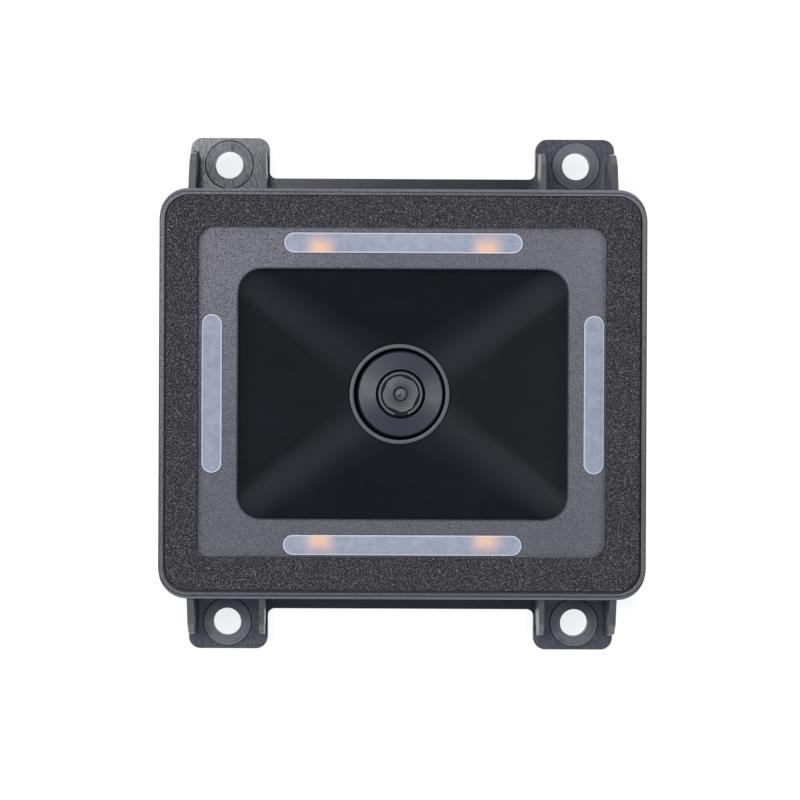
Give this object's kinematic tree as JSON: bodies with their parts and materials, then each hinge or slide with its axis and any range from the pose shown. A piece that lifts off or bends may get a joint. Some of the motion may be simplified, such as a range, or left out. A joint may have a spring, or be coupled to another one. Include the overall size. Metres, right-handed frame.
{
  "type": "barcode scan engine",
  "caption": "Fixed-mount barcode scan engine: black funnel window round a small lens, frosted light strips, foam gasket and drilled mounting lugs.",
  "frame": {"origin": "centre of the rear cover's outer face, on which the engine lies", "axes": "+Z along the optical axis, out of the window; +X to the right and +Y up as seen by someone looking into the window"},
  "size_m": [0.0604, 0.0648, 0.0272],
  "materials": {
    "bezel_grain": "fine spark-eroded grain, grey",
    "case_plastic": "moulded dark grey, slightly satin",
    "foam": "open-cell speckled foam",
    "hood_black": "black satin",
    "frosted_guide": "frosted light guide",
    "lens_black": "turned satin black",
    "lens_glass": "coated optical glass",
    "filter_glass": "tinted filter glass",
    "circuit_board": "green solder mask",
    "chip_epoxy": "moulded black epoxy",
    "capacitor_body": "tan fired body",
    "can_metal": "drawn metal lid",
    "phosphor": "yellow phosphor over a white body",
    "led_clear": "clear resin over a white body",
    "socket_resin": "natural moulded resin",
    "contact_gold": "gold flash",
    "screw_steel": "zinc plated"
  },
  "bodies": {
    "root": {"front_bezel": "bezel_grain", "foam_gasket": "foam", "optical_hood": "hood_black", "housing": "case_plastic", "rear_cover": "case_plastic", "case_screws": "screw_steel", "light_guide_top": "frosted_guide", "light_guide_bottom": "frosted_guide", "light_guide_left": "frosted_guide", "light_guide_right": "frosted_guide", "led_board": "circuit_board", "illumination_leds": "phosphor", "status_leds": "led_clear", "led_driver": "chip_epoxy", "led_resistors": "chip_epoxy", "led_board_screws": "screw_steel", "board_link_header": "chip_epoxy", "board_link_pins": "contact_gold", "board_link_socket": "chip_epoxy", "main_board": "circuit_board", "main_board_screws": "screw_steel", "decoder_chip": "chip_epoxy", "memory_chip": "chip_epoxy", "regulator": "chip_epoxy", "crystal": "can_metal", "power_inductor": "chip_epoxy", "chip_capacitors": "capacitor_body", "buzzer": "chip_epoxy", "host_connector": "socket_resin", "host_connector_pins": "contact_gold", "image_sensor": "chip_epoxy", "sensor_glass": "lens_glass", "ir_filter": "filter_glass", "lens_holder": "lens_black", "lens_holder_screws": "screw_steel", "lens_barrel": "lens_black", "front_lens": "lens_glass", "lens_spacer": "lens_black", "rear_lens": "lens_glass", "lens_retainer": "lens_black"}
  },
  "joints": []
}
